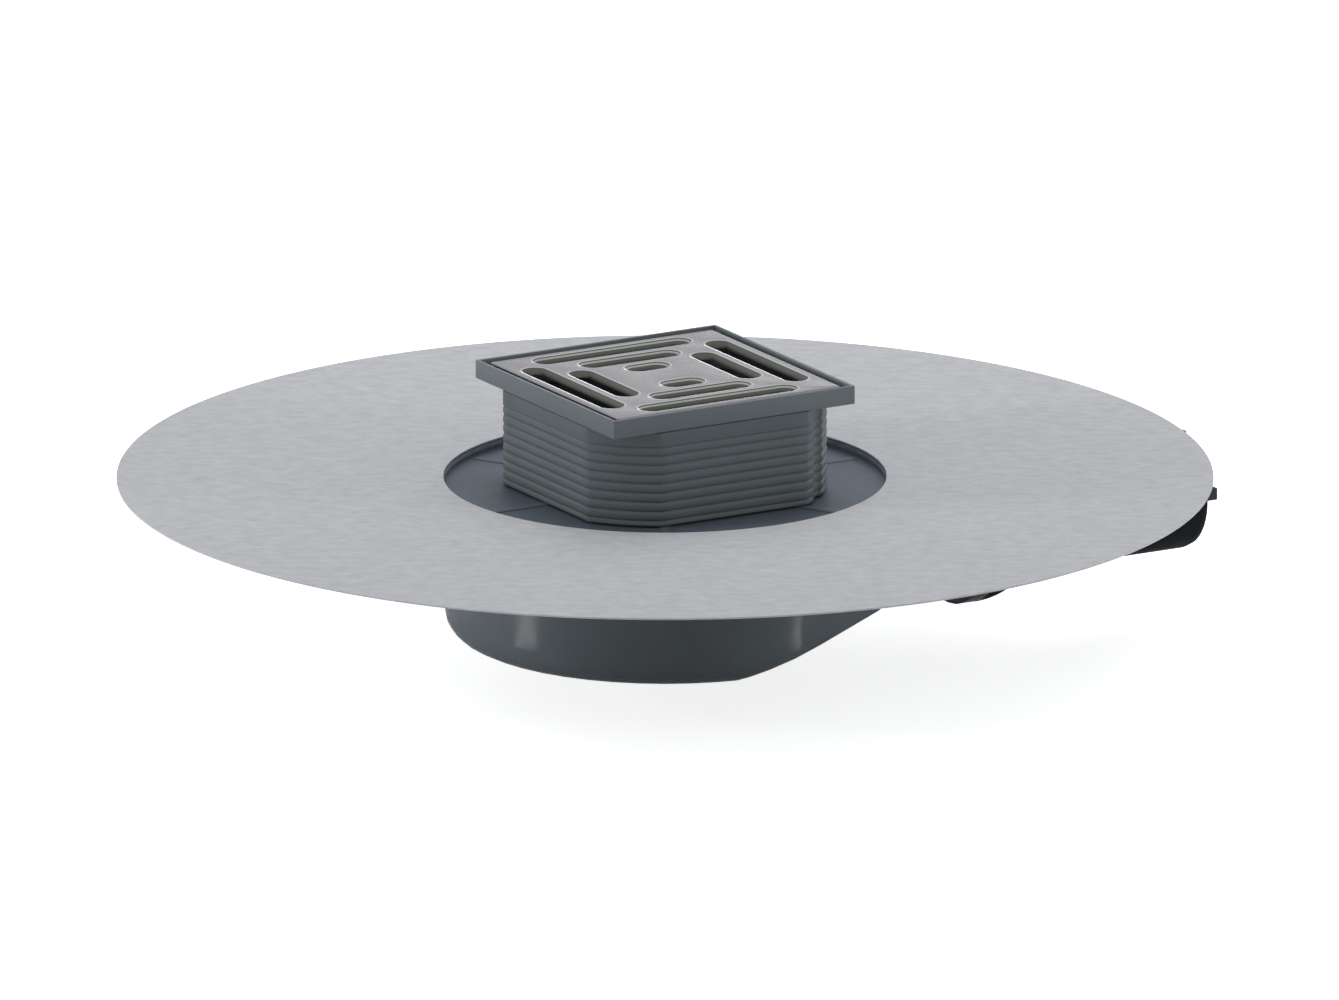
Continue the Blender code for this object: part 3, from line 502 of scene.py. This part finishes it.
# %% [markdown]
# A rib is a shallow arch. Nine lines for each rib draw that arch, and where two arches meet there
# is a notch that no smoothing rounds off.

# %% Ribbed extension
SKIRT_TOP = 0.1079
SKIRT_LOW = 0.0661
SKIRT_EDGE = 0.0003          # rounding of the skirt's upper and lower edge
RIB_TOP = 0.10136            # the highest rib's upper notch
RIB_PITCH = 0.00412
RIB_DEPTH = 0.00075
RIB_LINES = 9
RIB_STOP = SKIRT_LOW + 0.0004
INNER_HALF = 0.05665         # inside of the skirt
INNER_R = 0.06445
DECK_LOW = 0.0700
DECK_TOP = 0.0725
ROUND = 1.0                  # a half width so large that only the circle is left
NECK_LINES = (               # height and radius: down the neck, up its inside to the trap's seat
    (DECK_LOW, 0.0513), (0.0368, 0.0513), (0.0365, 0.0510), (0.0365, 0.0493), (0.0602, 0.0493),
    (0.0640, 0.0455), (0.0660, 0.0455), (0.0660, 0.0490), (0.0719, 0.0490), (DECK_TOP, 0.0496),
)


def rib_lines():
    """Height and inset of every line down the ribbed outside."""
    lines = [(SKIRT_TOP - SKIRT_EDGE, 0.0), (RIB_TOP + 0.0004, 0.0), (RIB_TOP + 0.0001, 0.0001)]
    notch = RIB_TOP
    while notch > RIB_STOP:
        for i in range(RIB_LINES):
            share = 2 * i / RIB_LINES - 1
            height = notch - RIB_PITCH * i / RIB_LINES
            if height > RIB_STOP:
                lines.append((height, RIB_DEPTH * abs(share) ** 3))
        notch -= RIB_PITCH
    return lines + [(SKIRT_LOW + SKIRT_EDGE, 0.0001), (SKIRT_LOW, 0.0004)]


def build_extension():
    chain = [(SKIRT_TOP, SKIRT_HALF - SKIRT_EDGE, SKIRT_R - SKIRT_EDGE, GROOVE_DEPTH)]
    for height, inset in rib_lines():
        chain.append((height, SKIRT_HALF - inset, SKIRT_R - inset, GROOVE_DEPTH))
    chain += [(SKIRT_LOW, INNER_HALF, INNER_R, 0), (DECK_LOW, INNER_HALF, INNER_R, 0)]
    chain += [(height, ROUND, radius, 0) for height, radius in NECK_LINES]
    chain += [(DECK_TOP, INNER_HALF, INNER_R, 0), (SKIRT_TOP, INNER_HALF, INNER_R, 0)]
    bm = square_chain(chain)
    return finish_piece("ribbed_extension", bm, "extension", skirt_grey, 32)


ribbed_extension = build_extension()
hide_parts("extension_piece")

# %% [markdown]
# ### Frame
# The frame is one moulding: a thin rim, a moat that keeps the rim clear of the grate, and a raised
# seat. Its section is turned round the axis in four steps only. Started on the diagonal, that makes
# a square with mitred corners, which is quicker than joining four bars. The sharp edges then get a
# small bevel, because a moulded edge is never razor sharp and the bevel catches the light.

# %% Frame
FRAME_HALF = 0.0600
FRAME_LOW = 0.1082
FRAME_TOP = 0.1163
RIM_IN = 0.0585
MOAT_LOW = 0.1105
SEAT_OUT = 0.0557
SEAT_TOP = 0.1139
OPENING = 0.0535


def square_section(bm, section):
    """Sweep a closed section of (half width, height) points round a square."""
    verts = [bm.verts.new((half, half, height)) for half, height in section]
    edges = [bm.edges.new((verts[i - 1], verts[i])) for i in range(len(verts))]
    bmesh.ops.spin(bm, geom=verts + edges, cent=(0, 0, 0), axis=(0, 0, 1), angle=FULL_TURN,
                   steps=4, use_merge=True, use_duplicate=False)


def soften(bm, size, segments=2, angle=40):
    """Bevel every edge that is sharper than the angle."""
    bmesh.ops.remove_doubles(bm, verts=bm.verts, dist=1e-6)
    bmesh.ops.recalc_face_normals(bm, faces=bm.faces)
    sharp = [edge for edge in bm.edges if len(edge.link_faces) == 2
             and edge.calc_face_angle() > math.radians(angle)]
    bmesh.ops.bevel(bm, geom=sharp, offset=size, segments=segments, affect="EDGES", profile=0.5,
                    material=-1, clamp_overlap=True)


def build_frame():
    bm = bmesh.new()
    square_section(bm, [(FRAME_HALF, FRAME_LOW), (FRAME_HALF, FRAME_TOP), (RIM_IN, FRAME_TOP),
                        (RIM_IN, MOAT_LOW), (SEAT_OUT, MOAT_LOW), (SEAT_OUT, SEAT_TOP),
                        (OPENING, SEAT_TOP), (OPENING, FRAME_LOW)])
    soften(bm, 0.0003)
    return finish_piece("square_frame", bm, "extension", frame_grey, 35)


square_frame = build_frame()
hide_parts("frame")

# %% [markdown]
# The frame plugs into the skirt with a lip of the skirt's own inside shape, so the same chain of
# lines draws it: down its outside, across, and up its inside.

# %% Frame lip
LIP_HALF = 0.05635
LIP_R = 0.06365
LIP_T = 0.0018               # thickness
LIP_H = 0.0050               # height


def build_lip():
    low = FRAME_LOW - LIP_H
    inner_half, inner_r = LIP_HALF - LIP_T, LIP_R - LIP_T
    bm = square_chain([(FRAME_LOW, LIP_HALF, LIP_R, 0), (low, LIP_HALF, LIP_R, 0),
                       (low, inner_half, inner_r, 0), (FRAME_LOW, inner_half, inner_r, 0)])
    return finish_piece("frame_lip", bm, "extension", frame_grey, 35)


frame_lip = build_lip()

# %% [markdown]
# ### Grate
# The grate is stamped from one steel sheet: the press cuts each slot and draws its edge down into a
# smooth round lip. The same order works in a mesh. The plate's outline and the slots' outer lines
# are filled as one flat face, each slot's open edge is then extruded inwards and down in small
# steps, and Solidify gives the sheet its thickness. The wall of a slot has a round edge, a steep
# part, a ledge left by the punch's shoulder, and a steep end. The round edge gets a painted
# highlight and the steep parts get painted shade. In the slots that lie along X the ledge gets a
# lighter tone, which is a painted reflection; in the other slots it keeps the painted shade.

# %% Slots of the grate
GRATE_HALF = 0.0555
GRATE_TOP = 0.1157
SHEET = 0.0014
CORNER_R = 0.0010
ROLL = 0.0006                # radius of the plate's own rounded edge
SLOT_R = 0.0066              # half width of a slot with its lip
OPEN_R = 0.0040              # half width of the clear opening
SLOT_STEPS = 40
# Half width, depth and finish: 1 painted highlight, 2 painted shade, 3 painted reflection along X.
SLOT_WALL = (
    (0.00645, 0.00001, 1), (0.00590, 0.00013, 1), (0.00576, 0.00018, 1),
    (0.00564, 0.00028, 2), (0.00552, 0.00044, 2), (0.00543, 0.00062, 2),
    (0.00510, 0.00086, 3), (0.00475, 0.00118, 3),
    (0.00452, 0.00152, 2), (0.00430, 0.00200, 2), (0.00412, 0.00250, 2), (OPEN_R, 0.00300, 2),
)
PITCH = 0.01525              # from one ring of slots to the next
LONG = 0.0794                # length of the outermost slots
STEP = 0.0285                # how much shorter each ring's slots are


def slot_list():
    """Centre, length and direction of every slot."""
    slots = []
    for ring, length in ((3, LONG), (2, LONG - STEP)):
        for side in (1, -1):
            slots.append(((side * ring * PITCH, 0), length, False))
            slots.append(((0, side * ring * PITCH), length, True))
    for side in (1, -1):
        slots.append(((0, side * PITCH), LONG - 2 * STEP, True))
    return slots


def slot_ring(bm, reach):
    """A circle whose halves are pulled apart: the slot's outer line, lying along X."""
    ring = bmesh.ops.create_circle(bm, segments=SLOT_STEPS, radius=SLOT_R)["verts"]
    half_step = Matrix.Rotation(math.pi / SLOT_STEPS, 3, "Z")
    bmesh.ops.rotate(bm, verts=ring, cent=(0, 0, 0), matrix=half_step)
    for side in (1, -1):
        half = [vert for vert in ring if vert.co.x * side > 0]
        bmesh.ops.translate(bm, verts=half, vec=(side * reach, 0, 0))
    return ring


def draw_lip(bm, edges, reach, along_x):
    """Draw a slot's edge down step by step; returns all new vertices."""
    before, made = SLOT_R, []
    for radius, drop, finish in SLOT_WALL:
        edges, verts = grow_edges(bm, edges)
        for vert in verts:
            cap = math.copysign(reach, vert.co.x)
            vert.co.x = cap + (vert.co.x - cap) * radius / before
            vert.co.y *= radius / before
            vert.co.z = -drop
            # The level's tone: painted highlight, painted shade, or painted reflection in slots
            # along X only.
            for face in vert.link_faces:
                face.material_index = finish if along_x else min(finish, 2)
        before = radius
        made += verts
    return made


# %% Grate plate
def build_grate():
    bm = bmesh.new()
    half = GRATE_HALF - ROLL
    corners = bmesh.ops.create_grid(bm, x_segments=1, y_segments=1, size=half)["verts"]
    bmesh.ops.bevel(bm, geom=corners, offset=CORNER_R, segments=4, affect="VERTICES",
                    profile=0.5, material=-1)
    bmesh.ops.delete(bm, geom=bm.faces[:], context="FACES_ONLY")
    rim = bm.edges[:]
    outlines = rim[:]
    for centre, length, along_x in slot_list():
        reach = length / 2 - SLOT_R
        ring = slot_ring(bm, reach)
        edges = list({edge for vert in ring for edge in vert.link_edges})
        whole = ring + draw_lip(bm, edges, reach, along_x)
        turn = 0 if along_x else math.pi / 2
        bmesh.ops.rotate(bm, verts=whole, cent=(0, 0, 0), matrix=Matrix.Rotation(turn, 3, "Z"))
        bmesh.ops.translate(bm, verts=whole, vec=(*centre, 0))
        outlines += edges
    bmesh.ops.triangle_fill(bm, use_beauty=True, use_dissolve=False, edges=outlines)
    edges, before = rim, half
    for degrees in (22.5, 45, 67.5, 90):
        edges, verts = grow_edges(bm, edges)
        reach = half + ROLL * math.sin(math.radians(degrees))
        bmesh.ops.scale(bm, verts=verts, vec=(reach / before, reach / before, 1))
        for vert in verts:
            vert.co.z = -ROLL * (1 - math.cos(math.radians(degrees)))
        before = reach
    bmesh.ops.translate(bm, verts=bm.verts, vec=(0, 0, GRATE_TOP))
    bmesh.ops.recalc_face_normals(bm, faces=bm.faces)
    if sum(face.normal.z for face in bm.faces) < 0:
        bmesh.ops.reverse_faces(bm, faces=bm.faces)
    return bm


def build_grate_piece():
    bm = build_grate()
    bmesh.ops.solidify(bm, geom=bm.faces[:], thickness=SHEET)
    piece = finish_piece("slotted_grate", bm, "extension", grate_steel, 21)
    # Slots 1 to 3 hold the painted highlight, painted shade and painted reflection tones.
    for material in (painted_highlight_steel, painted_shade_steel, painted_reflection_steel):
        piece.data.materials.append(material)
    return piece


slotted_grate = build_grate_piece()
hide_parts("grate")

# %% [markdown]
# ### Outlet
# The outlet is a ball joint: a hollow ball on the end of a short pipe is held in a socket by a
# domed nut. All of it is round, so each part is one section spun about the outlet's axis. The
# section follows the moulding's real wall, inside and out.

# %% Nut, spigot and plug
BALL_X = 0.1490
BALL_R = 0.0298
BALL_BORE = 0.0275
BALL_BACK = 137              # degrees from the outlet's axis, where the ball opens to the pipe
NUT_R = 0.0348
NUT_SKIRT_R = 0.0328         # the skirt sits in the socket
NUT_BACK = 0.1437
NUT_FACE = 0.1497
NUT_SEAT_R = 0.0314          # the slip ring lies against this
NUT_MOUTH = ((0.0315, 66.6), (0.0318, 66.0), (0.0330, 64.7),   # radius and degrees round the edge
             (0.0340, 63.7), (0.0344, 63.6), (0.0347, 64.0))
SPIGOT_END = 0.2585
SPIGOT_R = 0.0250
SPIGOT_BORE = 0.0232
PLUG_R = 0.0229
PLUG_WALL = 0.0018
OUTLET_STEPS = 96


def build_nut():
    bm = bmesh.new()
    joint = (BALL_X, 0)
    section = arc(joint, NUT_R, 64.6, 88.8, 12)
    section += [(NUT_FACE, NUT_SKIRT_R), (NUT_BACK, NUT_SKIRT_R)]
    section += arc(joint, NUT_SEAT_R, 99.7, 67.2, 14)
    for radius, degrees in NUT_MOUTH:
        section += arc(joint, radius, degrees, degrees, 1)[:1]
    spin_section(bm, section, OUTLET_STEPS, True)
    return finish_piece("nut", bm, "housing", nut_black, 35)


def build_spigot():
    bm = bmesh.new()
    joint = (BALL_X, 0)
    section = arc(joint, BALL_R, BALL_BACK, 46.2, 24)
    waist = [(0.1730, 0.0215), (0.1745, 0.0218), (0.1785, 0.0247), (0.1800, SPIGOT_R)]
    end = [(SPIGOT_END - 0.0036, SPIGOT_R), (SPIGOT_END - 0.0030, 0.0249),
           (SPIGOT_END - 0.0003, 0.0241), (SPIGOT_END, 0.0238),
           (SPIGOT_END, SPIGOT_BORE + 0.0002), (SPIGOT_END - 0.0002, SPIGOT_BORE)]
    inside = [(0.1805, SPIGOT_BORE), (0.1735, 0.0197)]
    section += waist + end + inside + arc(joint, BALL_BORE, 45.7, BALL_BACK, 22)
    spin_section(bm, section, OUTLET_STEPS, True)
    return finish_piece("spigot", bm, "outlet", outlet_black, 35)


def build_plug():
    bm = bmesh.new()
    face, back = SPIGOT_END - 0.0006, SPIGOT_END - 0.0146
    section = [(back, PLUG_R - 0.0008), (back + 0.0015, PLUG_R),
               (face - 0.0004, PLUG_R), (face, PLUG_R - 0.0004), (face, 0.0), (face - 0.0020, 0.0),
               (face - 0.0020, PLUG_R - PLUG_WALL), (back, PLUG_R - PLUG_WALL)]
    spin_section(bm, section, OUTLET_STEPS, True)
    return finish_piece("plug", bm, "outlet", plug_grey, 35)


def build_block(name, low, high, edge, body, material):
    """A small moulded block with softened edges."""
    bm = bmesh.new()
    bmesh.ops.create_cube(bm, size=1)
    low, high = Vector(low), Vector(high)
    bmesh.ops.scale(bm, verts=bm.verts, vec=high - low)
    bmesh.ops.translate(bm, verts=bm.verts, vec=(low + high) / 2)
    soften(bm, edge, 3)
    return finish_piece(name, bm, body, material, 35)


nut = build_nut()
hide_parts("ball_retaining_nut")
spigot = build_spigot()
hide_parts("outlet_spigot")
plug = build_plug()
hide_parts("outlet_plug")
grip = build_block("plug_grip", (SPIGOT_END - 0.0011, -0.01425, OUTLET_Z - 0.0027),
                   (SPIGOT_END + 0.0107, 0.01425, OUTLET_Z + 0.0027), 0.0005, "outlet", plug_grey)
tab = build_block("plug_tab", (SPIGOT_END - 0.0009, -0.0015, OUTLET_Z + 0.0185),
                  (SPIGOT_END + 0.0025, 0.0015, OUTLET_Z + 0.0266), 0.0004, "outlet", plug_grey)

# %% [markdown]
# ### Light
# The photo has soft light from above and behind, a tall light on the left and a weaker one on the
# right. A small low lamp far behind draws the white glints on the edges of the grate's slots.
# Area lamps give soft edges. The camera itself doesn't see any of them, and the four large ones
# don't mirror in the steel either, so that the grate keeps its own tone from every side.

# %% Lamps and world
def lamp(name, place, energy, width, height, target=(0, 0, 0.06)):
    data = bpy.data.lights.new(name, "AREA")
    data.shape = "RECTANGLE"
    data.size = width
    data.size_y = height
    data.energy = energy
    item = bpy.data.objects.new(name, data)
    item.location = from_view(*place)
    item.visible_camera = False
    bpy.context.scene.collection.objects.link(item)
    aim(item, target)
    return item


lamp("top_light", (0.05, 0.9, 2.2), 23.5, 1.7, 1.7)
lamp("back_light", (0.30, 1.9, 1.5), 13.5, 1.6, 0.9)
lamp("left_light", (-1.9, -0.42, 0.35), 15, 0.30, 0.7)
lamp("right_light", (1.9, -0.46, 0.30), 10, 0.22, 0.6)
for item in bpy.data.objects:
    if item.type == "LIGHT":
        item.visible_glossy = False
lamp("glint_light", (0.12, 2.19, 0.20), 0.8, 0.30, 0.26)

# %% [markdown]
# The bowl's upright wall is seen from above, so it mirrors the floor beside it and no lamp in the
# air can show in it. Lamps that lie flat, level with its foot, and shine upwards make its two
# bright strips.
# Each strip is two lamps, a narrow one near the wall and a wider one behind it, because a near
# thing is mirrored larger.

# %% Strips beside the bowl
def floor_strip(name, start, direction, energy, width, length):
    """A lamp that lies flat, its long side in the direction given as seen from the camera."""
    item = lamp(name, (*start, cad_box[0][2] + 0.002), energy, width, length)
    along = from_view(*direction, 0)
    item.rotation_euler = (math.pi, 0, math.atan2(-along.x, along.y))


floor_strip("left_strip_near", (-0.151, -0.097), (-0.972, -0.235), 0.035, 0.026, 0.07)
floor_strip("left_strip_far", (-0.250, -0.121), (-0.972, -0.235), 0.13, 0.050, 0.13)
floor_strip("right_strip_near", (0.146, -0.108), (0.948, -0.317), 0.012, 0.008, 0.07)
floor_strip("right_strip_far", (0.240, -0.139), (0.948, -0.317), 0.043, 0.015, 0.13)

# %% [markdown]
# The world fills the shadows at a plain level. What the camera sees of it, and what shines back
# from steel and plastic, is the white backdrop.

# %% World
def background_rays(tree):
    """1 for camera, mirrored and refracted rays, which see the backdrop; 0 for all others."""
    path = tree.nodes.new("ShaderNodeLightPath")
    seen = path.outputs["Is Camera Ray"]
    for kind in ("Is Glossy Ray", "Is Transmission Ray"):
        either = tree.nodes.new("ShaderNodeMath")
        either.operation = "MAXIMUM"
        tree.links.new(seen, either.inputs[0])
        tree.links.new(path.outputs[kind], either.inputs[1])
        seen = either.outputs[0]
    return seen


world = bpy.data.worlds.new("studio")
world.use_nodes = True
bpy.context.scene.world = world
tree = world.node_tree
tree.nodes.clear()
seen = background_rays(tree)
fill = tree.nodes.new("ShaderNodeBackground")
fill.inputs["Color"].default_value = (0.95, 0.98, 1.0, 1)
fill.inputs["Strength"].default_value = 0.34
backdrop = tree.nodes.new("ShaderNodeBackground")
backdrop.inputs["Strength"].default_value = 1.0
backdrop.inputs["Color"].default_value = (1, 1, 1, 1)
mix = tree.nodes.new("ShaderNodeMixShader")
tree.links.new(seen, mix.inputs[0])
tree.links.new(fill.outputs[0], mix.inputs[1])
tree.links.new(backdrop.outputs[0], mix.inputs[2])
out = tree.nodes.new("ShaderNodeOutputWorld")
tree.links.new(mix.outputs[0], out.inputs["Surface"])
print("lamps:", len(bpy.data.lights))

# %% [markdown]
# ### Floor
# The floor is a wide plain sheet. To the camera it is partly self-lit, so that it comes out white
# as in the photo but still keeps the drain's shadow. Glossy plastic mirrors only the light that
# falls on it, so the bowl's lower edge stays dark. A drain is bedded in mortar and its outlet can
# tilt down below the bowl, so the floor lies low enough to leave room for that.

# %% Floor
FLOOR_DROP = 0.020           # how far the floor is below the part
FLOOR_HALF = 6
FLOOR_GLOW = 0.75


def build_floor():
    bm = bmesh.new()
    bmesh.ops.create_grid(bm, x_segments=1, y_segments=1, size=FLOOR_HALF)
    bmesh.ops.translate(bm, verts=bm.verts, vec=(0, 0, cad_box[0][2] - FLOOR_DROP))
    mesh = bpy.data.meshes.new("floor")
    bm.to_mesh(mesh)
    bm.free()
    floor = bpy.data.objects.new("floor", mesh)
    bpy.context.scene.collection.objects.link(floor)
    material, tree, shader, _ = start_finish("floor_white", 0.9)
    shader.inputs["Base Color"].default_value = (0.82, 0.82, 0.82, 1)
    shader.inputs["Specular IOR Level"].default_value = 0.0
    shader.inputs["Emission Color"].default_value = (1, 1, 1, 1)
    glow = tree.nodes.new("ShaderNodeMath")
    glow.operation = "MULTIPLY"
    glow.inputs[1].default_value = FLOOR_GLOW
    path = tree.nodes.new("ShaderNodeLightPath")
    tree.links.new(path.outputs["Is Camera Ray"], glow.inputs[0])
    tree.links.new(glow.outputs[0], shader.inputs["Emission Strength"])
    mesh.materials.append(material)
    return floor


build_floor()
